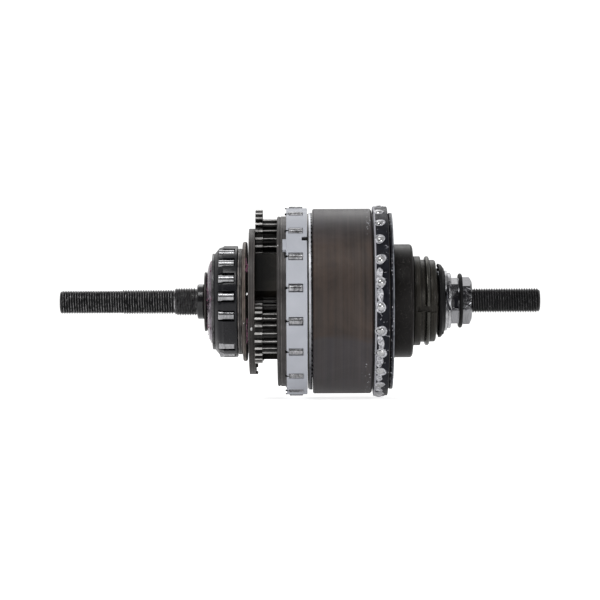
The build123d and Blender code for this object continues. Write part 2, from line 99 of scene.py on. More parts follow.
class Nodes:
    """A node-based material with one Principled shader, and short calls for its usual nodes."""

    def __init__(self, name, **plain):
        self.material = bpy.data.materials.new(name)
        self.material.use_nodes = True
        self.tree = self.material.node_tree
        self.shader = self.tree.nodes["Principled BSDF"]
        for socket, value in plain.items():
            self.shader.inputs[socket.replace("_", " ")].default_value = value
        self.place = self.add("ShaderNodeTexCoord").outputs["Object"]

    def add(self, kind, **settings):
        node = self.tree.nodes.new(kind)
        for key, value in settings.items():
            setattr(node, key, value)
        return node

    def link(self, source, target):
        if hasattr(source, "links"):
            self.tree.links.new(source, target)
        else:
            target.default_value = source

    def to(self, socket, source):
        self.link(source, self.shader.inputs[socket])

    def math(self, operation, a, b=0.0, clamp=False):
        node = self.add("ShaderNodeMath", operation=operation, use_clamp=clamp)
        self.link(a, node.inputs[0])
        self.link(b, node.inputs[1])
        return node.outputs[0]

    def scaled(self, scale, place=None):
        node = self.add("ShaderNodeMapping")
        self.link(place or self.place, node.inputs["Vector"])
        node.inputs["Scale"].default_value = scale
        return node.outputs[0]

    def turned(self, fine, around):
        """Coordinates that run along a lathe's cut: fine across it, long around it."""
        split = self.add("ShaderNodeSeparateXYZ")
        self.link(self.place, split.inputs[0])
        join = self.add("ShaderNodeCombineXYZ")
        x, y, z = split.outputs
        squares = self.math("ADD", self.math("MULTIPLY", x, x), self.math("MULTIPLY", z, z))
        radius = self.math("SQRT", squares)
        self.link(self.math("MULTIPLY", self.math("ADD", y, radius), fine), join.inputs[0])
        self.link(self.math("MULTIPLY", x, around), join.inputs[1])
        self.link(self.math("MULTIPLY", z, around), join.inputs[2])
        return join.outputs[0]

    def radius(self, centre=(0, 0)):
        """How far a point is from the line along Y through centre, in metres."""
        split = self.add("ShaderNodeSeparateXYZ")
        self.link(self.place, split.inputs[0])
        x = self.math("SUBTRACT", split.outputs[0], centre[0])
        z = self.math("SUBTRACT", split.outputs[2], centre[1])
        return self.math("SQRT", self.math("ADD", self.math("MULTIPLY", x, x), self.math("MULTIPLY", z, z)))

    def height(self):
        """A point's height above the axle's centre line, in metres."""
        split = self.add("ShaderNodeSeparateXYZ")
        self.link(self.place, split.inputs[0])
        return split.outputs[2]

    def noise(self, place, scale=1.0, detail=4.0, rough=0.55, warp=0.0):
        node = self.add("ShaderNodeTexNoise")
        self.link(place, node.inputs["Vector"])
        node.inputs["Scale"].default_value = scale
        node.inputs["Detail"].default_value = detail
        node.inputs["Roughness"].default_value = rough
        node.inputs["Distortion"].default_value = warp
        return node.outputs[0]

    def span(self, value, low, high, to_low=0.0, to_high=1.0):
        node = self.add("ShaderNodeMapRange", clamp=True)
        self.link(value, node.inputs["Value"])
        for key, number in zip(("From Min", "From Max", "To Min", "To Max"), (low, high, to_low, to_high)):
            node.inputs[key].default_value = number
        return node.outputs[0]

    def mix(self, factor, a, b):
        node = self.add("ShaderNodeMix", data_type="RGBA")
        self.link(factor, node.inputs[0])
        for value, socket in ((a, node.inputs[6]), (b, node.inputs[7])):
            self.link((*value, 1.0) if isinstance(value, tuple) else value, socket)
        return node.outputs[2]

    def bump(self, height, distance, strength=1.0, under=None):
        node = self.add("ShaderNodeBump")
        self.link(height, node.inputs["Height"])
        node.inputs["Distance"].default_value = distance
        node.inputs["Strength"].default_value = strength
        if under is not None:
            self.link(under, node.inputs["Normal"])
        return node.outputs[0]


def scratches(n, scale, thin):
    """Sparse thin marks, 1 on a mark: the narrow middle band of a stretched noise."""
    mark = n.noise(n.scaled(scale), 1.0, 2.0, 0.4, 0.6)
    band = n.math("ABSOLUTE", n.math("SUBTRACT", mark, 0.5))
    return n.span(band, 0.0, thin, 1.0, 0.0)


def steel(
    name, dark, light, rough, metal=1.0,
    lines=0.35, fine=2600, blotch=90, coat=0.0, wear_and_highlights=None, edge=None, spec=0.5,
):
    """Turned steel: lathe lines, blotches of oil or oxide, fine scratches and uneven gloss."""
    n = Nodes(name, Metallic=metal, Coat_Weight=coat, Coat_Roughness=0.18, Specular_IOR_Level=spec)
    cut = n.noise(n.turned(fine, 25), 1.0, 3.0, 0.6)
    cloud = n.noise(n.place, blotch, 6.0, 0.62, 0.3)
    speck = n.noise(n.place, blotch * 9, 3.0, 0.6)
    tone = n.math("ADD", n.math("MULTIPLY", cloud, 1 - lines), n.math("MULTIPLY", cut, lines))
    colour = n.mix(n.span(tone, 0.33, 0.68), dark, light)
    mark = scratches(n, (160, 520, 240), 0.006)
    edge = edge or tuple(min(1.0, c * 1.9 + 0.02) for c in light)
    colour = n.mix(n.math("MULTIPLY", mark, n.span(speck, 0.5, 0.62)), colour, edge)
    if wear_and_highlights is not None:
        colour = n.mix(wear_and_highlights(n), colour, edge)
    n.to("Base Color", colour)
    gloss = n.math("ADD", n.math("MULTIPLY", cloud, 0.55), n.math("MULTIPLY", speck, 0.45))
    n.to("Roughness", n.span(gloss, 0.3, 0.7, rough * 0.72, rough * 1.3))
    ridges = n.bump(cut, 0.00003, 0.55)
    n.to("Normal", n.bump(speck, 0.00004, 0.35, ridges))
    return n.material


def plastic(name, dark, light, rough, grain=900, smudge=60, gloss=0.3):
    """Moulded plastic: a faint mould grain, handling smudges and a little dust."""
    n = Nodes(name, IOR=1.5, Specular_IOR_Level=gloss)
    cloud = n.noise(n.place, smudge, 5.0, 0.6, 0.4)
    fine = n.noise(n.place, grain, 3.0, 0.55)
    n.to("Base Color", n.mix(n.span(cloud, 0.3, 0.7), dark, light))
    n.to("Roughness", n.span(cloud, 0.25, 0.75, rough * 0.8, rough * 1.2))
    n.to("Normal", n.bump(fine, 0.00004, 0.5))
    return n.material


def drum_steel():
    """The drum's brown-black oxide, with a painted grey sheen towards its top and bottom, faint rubbed bands
    and small dents.
    """
    n = Nodes("drum_steel", Metallic=0.25, Specular_IOR_Level=0.32)
    cut = n.noise(n.turned(1500, 12), 1.0, 3.0, 0.65)
    cloud = n.noise(n.scaled((55, 30, 38)), 1.0, 6.0, 0.62, 0.8)
    speck = n.noise(n.place, 1300, 2.0, 0.6)
    bands = n.noise(n.turned(420, 6), 1.0, 3.0, 0.6)
    height = n.math("ADD", n.height(), n.math("MULTIPLY", n.math("SUBTRACT", cloud, 0.5), 0.012))
    tone = n.math("ADD", n.math("MULTIPLY", cloud, 0.6), n.math("MULTIPLY", bands, 0.4))
    brown = n.mix(n.span(tone, 0.4, 0.62), (0.024, 0.0185, 0.0165), (0.068, 0.046, 0.036))
    grey = n.mix(n.span(tone, 0.4, 0.62), (0.034, 0.031, 0.033), (0.056, 0.05, 0.055))
    # Painted sheen: grey towards the drum's top and bottom at rest, brown only in the band between.
    between_painted_sheen = n.math("MULTIPLY", n.span(height, -0.016, -0.0135), n.span(height, 0.021, 0.03, 1.0, 0.0))
    colour = n.mix(between_painted_sheen, grey, brown)
    colour = n.mix(n.math("MULTIPLY", n.span(cut, 0.35, 0.65), 0.25), colour, (0.09, 0.072, 0.066))
    rubbed = n.math("MULTIPLY", scratches(n, (90, 420, 70), 0.005), n.span(cloud, 0.5, 0.64))
    colour = n.mix(n.math("MULTIPLY", rubbed, 0.55), colour, (0.13, 0.11, 0.105))
    n.to("Base Color", colour)
    n.to("Roughness", n.span(tone, 0.3, 0.7, 0.36, 0.5))
    dents = n.bump(n.noise(n.scaled((120, 90, 120)), 1.0, 3.0, 0.5), 0.00035, 0.25)
    n.to("Normal", n.bump(speck, 0.00002, 0.3, n.bump(cut, 0.00002, 0.5, dents)))
    return n.material


def on_axle(n, low, high, soft=0.2):
    """1 between two places along the axle in millimetres, and 0 outside them."""
    split = n.add("ShaderNodeSeparateXYZ")
    n.link(n.place, split.inputs[0])
    along = n.math("MULTIPLY", split.outputs[1], -1 / MM)
    rise = n.span(along, low - soft, low + soft)
    fall = n.span(along, high - soft, high + soft, 1.0, 0.0)
    return n.math("MULTIPLY", rise, fall)


def patches(n, scale, low, high, warp=1.0):
    return n.span(n.noise(n.place, scale, 5.0, 0.6, warp), low, high)


def crest(n, radius, depth=0.12, centre=(0, 0)):
    """1 at a thread's or tooth's outermost radius in millimetres, 0 below it."""
    return n.span(n.radius(centre), (radius - depth) * MM, (radius - depth * 0.3) * MM)


def thread_wear(n):
    """Bare metal on the threads' crests, in patches, with a few bright nicks."""
    tips = n.math("MAXIMUM", crest(n, THREAD_R, 0.2), crest(n, SEAT_THREAD_R, 0.2))
    worn = n.math("MULTIPLY", tips, patches(n, 700, 0.36, 0.72))
    nicks = n.math("MULTIPLY", tips, patches(n, 1500, 0.62, 0.68))
    bare = n.span(on_axle(n, -94.0, -48.4), 0, 1, 0.25, 1.0)
    marks = n.math("MULTIPLY", n.math("MAXIMUM", n.math("MULTIPLY", worn, 0.85), nicks), bare)
    end_ring = n.math("MULTIPLY", on_axle(n, -49.0, -48.4, 0.08), patches(n, 300, 0.4, 0.6))
    return n.math("MAXIMUM", marks, end_ring)


def rubbed_bands_and_highlights(*bands):
    """Bright narrow bands round a turned piece at its corners: rubbed bare metal and painted edge
    highlights, broken up by oil.
    """

    def wear_and_highlights(n):
        total = 0.0
        for low, high, strength in bands:
            total = n.math("MAXIMUM", total, n.math("MULTIPLY", on_axle(n, low, high, 0.07), strength))
        return n.math("MULTIPLY", total, patches(n, 170, 0.3, 0.62))

    return wear_and_highlights


def dome_steel():
    """The satin dome, with clear grease and the remains of pink assembly grease."""
    n = Nodes("dome_steel", Metallic=0.55, Coat_Weight=0.6, Coat_Roughness=0.12)
    cloud = n.noise(n.place, 260, 5.0, 0.6, 0.8)
    film = n.noise(n.place, 900, 4.0, 0.6, 1.2)
    colour = n.mix(n.span(cloud, 0.35, 0.65), (0.055, 0.043, 0.056), (0.23, 0.195, 0.235))
    colour = n.mix(patches(n, 420, 0.58, 0.64), colour, (0.26, 0.06, 0.15))
    n.to("Base Color", n.mix(n.span(film, 0.62, 0.7), colour, (0.5, 0.45, 0.5)))
    n.to("Roughness", n.span(cloud, 0.3, 0.7, 0.18, 0.42))
    n.to("Normal", n.bump(film, 0.0003, 0.6))
    return n.material


def driver_steel():
    """The driver's oxide: nearly black on the collar and olive brown on the snout."""
    n = Nodes("driver_steel", Metallic=0.25, Specular_IOR_Level=0.18)
    cut = n.noise(n.turned(2200, 20), 1.0, 3.0, 0.6)
    cloud = n.noise(n.place, 110, 5.0, 0.6, 0.5)
    black = n.mix(n.span(cloud, 0.3, 0.7), (0.004, 0.0036, 0.0036), (0.011, 0.0095, 0.009))
    olive = n.mix(n.span(cut, 0.35, 0.65), (0.01, 0.009, 0.0075), (0.03, 0.027, 0.0215))
    colour = n.mix(on_axle(n, 44.0, 60.0), black, olive)
    marks = n.math("MULTIPLY", scratches(n, (200, 600, 300), 0.004), 0.6)
    colour = n.mix(marks, colour, (0.16, 0.15, 0.14))
    n.to("Base Color", colour)
    n.to("Roughness", n.span(cloud, 0.3, 0.7, 0.3, 0.46))
    n.to("Normal", n.bump(cut, 0.00003, 0.6))
    return n.material


def retainer_steel():
    """The ball retainer's black steel, wet with grease beside the balls."""
    n = Nodes("retainer_steel", Metallic=0.1, Specular_IOR_Level=0.15)
    cloud = n.noise(n.place, 300, 5.0, 0.6, 0.7)
    black = n.mix(n.span(cloud, 0.35, 0.65), (0.003, 0.003, 0.006), (0.009, 0.01, 0.016))
    rim = n.math("MULTIPLY", on_axle(n, 28.0, 28.9, 0.1), 0.85)
    smears = n.math("MULTIPLY", patches(n, 800, 0.64, 0.7), on_axle(n, 28.0, 34.0))
    n.to("Base Color", n.mix(n.math("MAXIMUM", rim, smears), black, (0.4, 0.4, 0.44)))
    n.to("Roughness", n.span(cloud, 0.3, 0.7, 0.25, 0.5))
    n.to("Normal", n.bump(cloud, 0.0001, 0.5))
    return n.material


def dust_steel():
    """The dust disc: blue-black, with a rubbed right edge and dried flecks of grease."""
    n = Nodes("dust_steel", Metallic=0.1, Specular_IOR_Level=0.2)
    cloud = n.noise(n.place, 200, 5.0, 0.6, 0.7)
    black = n.mix(n.span(cloud, 0.35, 0.65), (0.003, 0.003, 0.006), (0.01, 0.011, 0.017))
    on_rim = n.span(n.radius(), DUST_RIM_R[0] * MM, DUST_RIM_R[1] * MM)
    corner = n.math("MULTIPLY", on_axle(n, 35.25, 37.0, 0.12), on_rim)
    edge = n.math("MULTIPLY", corner, n.span(cloud, 0.35, 0.6, 0.35, 0.9))
    flecks = n.math("MULTIPLY", patches(n, 520, 0.6, 0.66), on_rim)
    n.to("Base Color", n.mix(n.math("MAXIMUM", edge, flecks), black, (0.26, 0.27, 0.3)))
    n.to("Roughness", n.span(cloud, 0.3, 0.7, 0.3, 0.5))
    n.to("Normal", n.bump(cloud, 0.0001, 0.5))
    return n.material


def carrier_steel():
    """The carrier's oil-black steel, browner at the right end of its pillars."""
    n = Nodes("carrier_steel", Metallic=0.0)
    cloud = n.noise(n.place, 130, 5.0, 0.6, 0.6)
    black = n.mix(n.span(cloud, 0.35, 0.65), (0.002, 0.002, 0.002), (0.008, 0.0075, 0.007))
    brown = n.math("MULTIPLY", on_axle(n, -11.0, 6.0, 3.5), n.span(cloud, 0.35, 0.6, 0.4, 1.0))
    n.to("Base Color", n.mix(brown, black, (0.026, 0.022, 0.017)))
    n.to("Specular IOR Level", n.span(brown, 0, 1, 0.05, 0.16))
    n.to("Roughness", n.span(cloud, 0.3, 0.7, 0.3, 0.5))
    n.to("Normal", n.bump(n.noise(n.place, 1400, 3.0, 0.6), 0.00003, 0.4))
    return n.material


def gear_material(name, centre, tips):
    """Dark gear steel with brighter tooth tips, measured from the gear's own centre."""
    n = Nodes(name, Metallic=0.6, Specular_IOR_Level=0.35)
    cloud = n.noise(n.place, 220, 5.0, 0.62, 0.4)
    colour = n.mix(n.span(cloud, 0.33, 0.66), (0.008, 0.0075, 0.007), (0.035, 0.033, 0.032))
    shine = 0.0
    for tip in tips:
        at_tip = n.math("SUBTRACT", crest(n, tip, 0.3, centre), crest(n, tip + 0.4, 0.3, centre))
        shine = n.math("MAXIMUM", shine, at_tip)
    shine = n.math("MULTIPLY", shine, n.span(cloud, 0.3, 0.6, 0.55, 1.0))
    n.to("Base Color", n.mix(shine, colour, (0.52, 0.51, 0.5)))
    n.to("Roughness", n.span(cloud, 0.3, 0.7, 0.26, 0.42))
    n.to("Normal", n.bump(n.noise(n.place, 2500, 3.0, 0.6), 0.00003, 0.4))
    return n.material


def zinc_steel():
    """Bright zinc, with painted shade on the faces that look up at rest, and painted shade broken by mottle
    on the near faces.
    """
    n = Nodes("zinc_plate", Metallic=1.0)
    cloud = n.noise(n.place, 210, 5.0, 0.6, 0.4)
    cut = n.noise(n.turned(2200, 30), 1.0, 3.0, 0.6)
    mottle = n.noise(n.place, 340, 3.0, 0.6, 1.6)
    tone = n.math("ADD", n.math("MULTIPLY", cloud, 0.4), n.math("MULTIPLY", cut, 0.6))
    colour = n.mix(n.span(tone, 0.35, 0.65), (0.21, 0.21, 0.22), (0.33, 0.33, 0.345))
    height = n.height()
    # Painted shade, broken by mottle, on the faces that look towards the camera at rest.
    near = n.math("MULTIPLY", n.span(height, -0.0042, -0.0036), n.span(height, 0.0036, 0.0042, 1.0, 0.0))
    colour = n.mix(n.math("MULTIPLY", near, n.span(mottle, 0.44, 0.56)), colour, (0.045, 0.045, 0.05))
    # Painted shade on the faces that look up at rest.
    colour = n.mix(n.math("MULTIPLY", n.span(height, 0.0036, 0.0046), 0.8), colour, (0.055, 0.055, 0.06))
    # Painted shade: nearly black inside the recess.
    deep = n.span(n.radius(), RECESS_R * MM, (RECESS_R + 0.15) * MM, 1.0, 0.0)
    painted_recess_shade = n.math("MULTIPLY", on_axle(n, *RECESS_AT, 0.1), deep)
    colour = n.mix(painted_recess_shade, colour, (0.008, 0.008, 0.01))
    n.to("Base Color", colour)
    n.to("Roughness", n.span(cloud, 0.3, 0.7, 0.14, 0.24))
    n.to("Normal", n.bump(mottle, 0.00012, 0.35, n.bump(cut, 0.00002, 0.5)))
    return n.material


def actuator_steel():
    """The shift actuator's bright plating, with painted shade in broken stripes, strongest on its near side
    at rest, weaker on top and faint underneath.
    """
    n = Nodes("actuator_steel", Metallic=0.85)
    cloud = n.noise(n.place, 240, 5.0, 0.6, 0.4)
    stripes = n.noise(n.turned(1300, 160), 1.0, 3.0, 0.65, 0.4)
    colour = n.mix(n.span(cloud, 0.35, 0.65), (0.36, 0.36, 0.37), (0.62, 0.62, 0.64))
    height = n.height()
    # Painted shade: the stripes' strength is set by height at rest.
    above = n.span(height, -0.0052, -0.0035, 0.15, 1.0)
    near = n.math("MULTIPLY", above, n.span(height, 0.0058, 0.0075, 1.0, 0.4))
    colour = n.mix(n.math("MULTIPLY", near, n.span(stripes, 0.42, 0.52)), colour, (0.02, 0.02, 0.024))
    n.to("Base Color", colour)
    n.to("Roughness", n.span(cloud, 0.3, 0.7, 0.2, 0.38))
    n.to("Normal", n.bump(stripes, 0.00006, 0.5))
    return n.material


def serrated_steel():
    """The serrated ring: one rubbed bright band, with painted light that keeps it bright on top and fades it
    into painted shade towards the underside.
    """
    n = Nodes("serrated_steel", Metallic=0.5, Specular_IOR_Level=0.3)
    cloud = n.noise(n.place, 300, 5.0, 0.6, 0.6)
    dull = n.mix(n.span(cloud, 0.35, 0.65), (0.016, 0.016, 0.02), (0.06, 0.06, 0.068))
    # Painted light and shade: the band is bright on top and dimmed towards the underside at rest.
    painted_light_by_height = n.span(n.height(), -0.026, 0.004, 0.12, 1.0)
    band = n.math("MULTIPLY", on_axle(n, 3.35, 4.2, 0.08), n.span(cloud, 0.3, 0.5, 0.6, 1.0))
    n.to("Base Color", n.mix(n.math("MULTIPLY", band, painted_light_by_height), dull, (0.72, 0.73, 0.77)))
    n.to("Roughness", n.span(cloud, 0.3, 0.7, 0.25, 0.45))
    n.to("Normal", n.bump(cloud, 0.00005, 0.5))
    return n.material


def grease(name, dark, light):
    n = Nodes(name, Coat_Weight=0.8, Coat_Roughness=0.08, IOR=1.47)
    cloud = n.noise(n.place, 900, 4.0, 0.6, 1.0)
    n.to("Base Color", n.mix(n.span(cloud, 0.38, 0.62), dark, light))
    n.to("Roughness", n.span(cloud, 0.3, 0.7, 0.12, 0.35))
    n.to("Normal", n.bump(n.noise(n.place, 1800, 4.0, 0.6, 0.5), 0.0002, 0.7))
    return n.material


MATERIALS = {
    "black_oxide": steel(
        "black_oxide", (0.007, 0.007, 0.008), (0.022, 0.0215, 0.0225), 0.34, 0.5,
        wear_and_highlights=thread_wear, edge=(0.55, 0.54, 0.55),
    ),
    "drum_steel": drum_steel(),
    "oily_steel": steel("oily_steel", (0.024, 0.0215, 0.0205), (0.062, 0.057, 0.055), 0.42, 0.3, spec=0.25),
    "gear_steel": steel("gear_steel", (0.03, 0.029, 0.028), (0.11, 0.107, 0.105), 0.32, 0.95, lines=0.2),
    "bright_steel": steel(
        "bright_steel", (0.3, 0.3, 0.31), (0.62, 0.62, 0.63), 0.17, 1.0, lines=0.55, coat=0.2
    ),
    "zinc_plate": zinc_steel(),
    "dome_steel": dome_steel(),
    "grey_nylon": plastic("grey_nylon", (0.4, 0.415, 0.46), (0.47, 0.485, 0.53), 0.42),
    "black_nylon": plastic("black_nylon", (0.004, 0.004, 0.006), (0.011, 0.011, 0.014), 0.26),
    "black_rubber": plastic(
        "black_rubber", (0.002, 0.002, 0.002), (0.006, 0.006, 0.007), 0.45, 1500, gloss=0.12
    ),
    "spring_steel": steel("spring_steel", (0.03, 0.029, 0.024), (0.08, 0.077, 0.07), 0.3, 0.85),
}
RIM = ((0.024, 0.0215, 0.0205), (0.062, 0.057, 0.055), 0.42, 0.3)
# The plate's and rings' bright corner bands are rubbed metal and painted edge highlights.
PLATE_RIM = steel(
    "plate_steel", *RIM, spec=0.25, edge=(0.2, 0.18, 0.17),
    wear_and_highlights=rubbed_bands_and_highlights((-19.7, -19.45, 0.6), (-18.6, -18.4, 0.35), (-17.6, -17.3, 0.8)),
)
THRUST_RIM = steel(
    "thrust_ring_steel", *RIM, spec=0.3, edge=(0.42, 0.39, 0.37),
    wear_and_highlights=rubbed_bands_and_highlights((-23.95, -23.5, 1.0), (-22.7, -22.3, 0.8)),
)
DISC_RIM = steel(
    "friction_disc_steel", (0.034, 0.03, 0.028), (0.085, 0.076, 0.07), 0.42, 0.3,
    spec=0.3, edge=(0.25, 0.2, 0.17),
    wear_and_highlights=rubbed_bands_and_highlights((-22.2, -21.8, 0.7), (-21.5, -21.0, 0.9)),
)
OUTPUT_RIM = steel(
    "output_ring_steel", (0.031, 0.028, 0.028), (0.082, 0.077, 0.076), 0.42, 0.3,
    spec=0.22, edge=(0.17, 0.16, 0.155),
    wear_and_highlights=rubbed_bands_and_highlights((-8.1, -7.95, 0.6), (-7.25, -6.9, 0.8), (-6.3, -6.15, 0.6), (-5.7, -5.4, 0.7)),
)
LARGE_ROLLERS = steel(
    "roller_steel", (0.025, 0.025, 0.027), (0.55, 0.55, 0.57), 0.24, 0.9, fine=1200, blotch=620
)
COLLAR = steel("collar_steel", (0.004, 0.004, 0.005), (0.012, 0.0115, 0.0125), 0.16, 0.5, coat=0.6)
LEFT_ROLLERS = steel(
    "left_roller_steel", (0.17, 0.17, 0.175), (0.58, 0.58, 0.6), 0.2, 1.0, lines=0.55, blotch=260
)
SILVER_GREASE = grease("silver_grease", (0.16, 0.16, 0.18), (0.62, 0.62, 0.66))
PINK_GREASE = grease("pink_grease", (0.09, 0.022, 0.055), (0.34, 0.1, 0.2))
WHITE_GREASE = grease("white_grease", (0.6, 0.6, 0.6), (0.85, 0.85, 0.85))
OWN = {
    "driver_body": driver_steel(),
    "right_ball_retainer": retainer_steel(),
    "dust_disc": dust_steel(),
    "planet_carrier": carrier_steel(),
    "serrated_thrust_ring": serrated_steel(),
    "shift_actuator": actuator_steel(),
    "left_clutch_rollers": LEFT_ROLLERS,
    "left_tab_washer": MATERIALS["oily_steel"],
    "left_lock_collar": COLLAR,
    "carrier_left_plate": PLATE_RIM,
    "left_thrust_ring": THRUST_RIM,
    "left_friction_disc": DISC_RIM,
    "output_ring_gear": OUTPUT_RIM,
    "large_clutch_rollers": LARGE_ROLLERS,
}
SMOOTH_EDGES = (
    "carrier_left_plate",
    "left_friction_disc",
    "left_thrust_ring",
    "output_ring_gear",
    "large_roller_cage",
    "left_roller_cage",
    "planet_carrier",
    "driver_body",
    "right_lock_sleeve",
    "right_lock_nut",
    "shift_actuator",
)


def soften(obj, width):
    """A small rounding on every sharp edge, as a modifier."""
    weld = obj.modifiers.new("weld", "WELD")
    weld.merge_threshold = 0.000002
    bevel = obj.modifiers.new("edges", "BEVEL")
    bevel.width = width
    bevel.segments = 2
    bevel.limit_method = "ANGLE"
    bevel.angle_limit = math.radians(40)
    bevel.use_clamp_overlap = True
    bevel.harden_normals = False


def dress_frame():
    """Each CAD node takes its slot's material, or its own where it looks different."""
    slots = {sub["node"]: sub["material_slot"] for sub in frame["record"]["subparts"]}
    for number, angle in enumerate(PLANETS_AT, 1):
        turn = math.radians(angle)
        centre = (ORBIT_R * MM * math.cos(turn), ORBIT_R * MM * math.sin(turn))
        left, right = f"left_planet_{number}", f"right_planet_{number}"
        OWN[left] = gear_material(left + "_steel", centre, (LARGE_PLANET_TIP_R, PINION_TIP_R))
        OWN[right] = gear_material(right + "_steel", centre, (RIGHT_PLANET_TIP_R,))
    for name, node in frame["nodes"].items():
        node.data.materials.clear()
        node.data.materials.append(OWN.get(name) or MATERIALS[slots[name]])
        if name in SMOOTH_EDGES or "planet_" in name and "pin" not in name:
            soften(node, EDGE_ROUNDING)


# ---- Pieces modelled here ----


def at(s, radius, angle):
    """The point at s and radius in millimetres, at an angle in degrees round the axle."""
    turn = math.radians(angle)
    return Vector((-radius * math.cos(turn), -s, -radius * math.sin(turn))) * MM


def add_piece(name, mesh, material, body):
    mesh.materials.append(material)
    for face in mesh.polygons:
        face.use_smooth = True
    obj = bpy.data.objects.new(name, mesh)
    bpy.context.scene.collection.objects.link(obj)
    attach(obj, body)
    return obj


AROUND = 64
PITCH = 25.4 / 26
THREAD_DEPTH = 0.6
END_ROUND = 1.2
END_TAPER = 1.7
THREAD_STEPS = ((0.0, 1.0), (0.43, 0.0), (0.5, 0.0), (0.93, 1.0))


def plain_rings(bm, profile):
    """Strips between plain rings of (s, radius)."""
    rows = []
    for s, radius in profile:
        rows.append([bm.verts.new(at(s, radius, 360 * j / AROUND)) for j in range(AROUND)])
    for low, high in zip(rows, rows[1:]):
        for j in range(AROUND):
            k = (j + 1) % AROUND
            bm.faces.new((low[j], low[k], high[k], high[j]))


def thread_rings(bm, low, high, outer, end_radii):
    """A right-hand helical thread from low to high, closed down to a plain ring at each end."""
    steps = len(THREAD_STEPS)
    rows = []
    for i in range(steps * (int((high - low) / PITCH) + 3)):
        share, drop = THREAD_STEPS[i % steps]
        row = []
        for j in range(AROUND):
            s = low + PITCH * (i // steps - 1 + share + j / AROUND)
            radius = outer - THREAD_DEPTH * drop
            if s <= low or s >= high:
                s, radius = (low, end_radii[0]) if s <= low else (high, end_radii[1])
            from_end = (AXLE_END - abs(s)) / END_TAPER
            if from_end < 1:
                radius = min(radius, outer - END_ROUND * (1 - math.sqrt(from_end * (2 - from_end))))
            point = at(s, radius, 360 * j / AROUND)
            if s < FLATS_UP_TO:
                point.z = max(-FLATS_HALF * MM, min(FLATS_HALF * MM, point.z))
            row.append(bm.verts.new(point))
        rows.append(row)
    for i in range(len(rows) - 1):
        for j in range(AROUND - 1):
            bm.faces.new((rows[i][j], rows[i][j + 1], rows[i + 1][j + 1], rows[i + 1][j]))
        if i + steps + 1 < len(rows):
            last = AROUND - 1
            bm.faces.new((rows[i][last], rows[i + steps][0], rows[i + steps + 1][0], rows[i + 1][last]))


def threaded_axle():
    """The axle with its real threads, run-outs, end chamfers and centre holes."""
    bm = bmesh.new()
    end = THREAD_R - END_ROUND
    seat_root = SEAT_THREAD_R - THREAD_DEPTH
    plain_rings(bm, [(-91.4, 0.001), (-92.6, 0.9), (-AXLE_END, 1.5), (-AXLE_END, end)])
    thread_rings(bm, -AXLE_END, -49.2, THREAD_R, (end, 4.35))
    plain_rings(bm, [(-49.2, 4.35), (-48.6, 4.35), (-48.6, 5.1), (-48.3, seat_root)])
    thread_rings(bm, -48.3, -40.65, SEAT_THREAD_R, (seat_root, 5.0))
    shoulder = [(-40.65, 5.0), (-40.05, 5.0), (-40.05, 5.4), (-36.2, 5.4)]
    plain_rings(bm, shoulder + [(-36.2, CORE_R), (33.5, CORE_R)])
    plain_rings(bm, [(33.5, CORE_R), (33.5, 5.5), (58.75, 5.5), (58.75, 4.7), (66.85, 4.7), (66.85, 4.35)])
    thread_rings(bm, 66.85, AXLE_END, THREAD_R, (4.35, end))
    plain_rings(bm, [(AXLE_END, end), (AXLE_END, 1.5), (92.6, 0.9), (91.4, 0.001)])
    bmesh.ops.remove_doubles(bm, verts=bm.verts, dist=0.000002)
    bmesh.ops.dissolve_degenerate(bm, edges=bm.edges, dist=0.0000005)
    bmesh.ops.holes_fill(bm, edges=bm.edges, sides=0)
    bmesh.ops.recalc_face_normals(bm, faces=bm.faces)
    mesh = bpy.data.meshes.new("axle_threaded")
    bm.to_mesh(mesh)
    bm.free()
    obj = add_piece("axle_threaded", mesh, MATERIALS["black_oxide"], "axle_assembly")
    mesh.set_sharp_from_angle(angle=math.radians(32))
    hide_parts("axle")


def lump(bm, rnd, s, radius, angle, along, around, proud, rough=0.35):
    """A smear of grease that follows the round surface it lies on."""
    made = bmesh.ops.create_icosphere(bm, subdivisions=2, radius=1.0)["verts"]
    waves = [(Vector([rnd.uniform(-2.5, 2.5) for _ in range(3)]), rnd.uniform(0, 6.28)) for _ in range(3)]
    for vert in made:
        p = vert.co.copy()
        swell = 1 + rough * sum(math.sin(p.dot(wave) + phase) for wave, phase in waves) / 2
        place = angle + math.degrees(p.y * around * swell / radius)
        vert.co = at(s + p.x * along * swell, radius + p.z * proud * swell, place)


def halo(bm, rnd, s, radius, angle, reach, thick):
    """An uneven ring of grease pushed up round a ball."""
    around, across = 20, 8
    phase = rnd.uniform(0, 6.28)
    rows = []
    for i in range(around):
        turn = 2 * math.pi * i / around
        size = reach * (1 + 0.12 * math.sin(2 * turn + phase) + 0.07 * math.sin(3 * turn - phase))
        height = thick * (1 + 0.35 * math.sin(turn + phase))
        row = []
        for k in range(across):
            side = 2 * math.pi * k / across
            r = size + height * math.cos(side)
            place = angle + math.degrees(r * math.sin(turn) / radius)
            lift = height * 0.8 * math.sin(side)
            row.append(bm.verts.new(at(s + r * math.cos(turn), radius + lift, place)))
        rows.append(row)
    for i in range(around):
        for k in range(across):
            a, b = rows[i], rows[(i + 1) % around]
            m = (k + 1) % across
            bm.faces.new((a[k], b[k], b[m], a[m]))


def grease_piece(name, material, body, fill):
    """One mesh of many smears: fill adds them to the mesh."""
    bm = bmesh.new()
    fill(bm, random.Random(name))
    bmesh.ops.recalc_face_normals(bm, faces=bm.faces)
    mesh = bpy.data.meshes.new(name)
    bm.to_mesh(mesh)
    bm.free()
    add_piece(name, mesh, material, body)


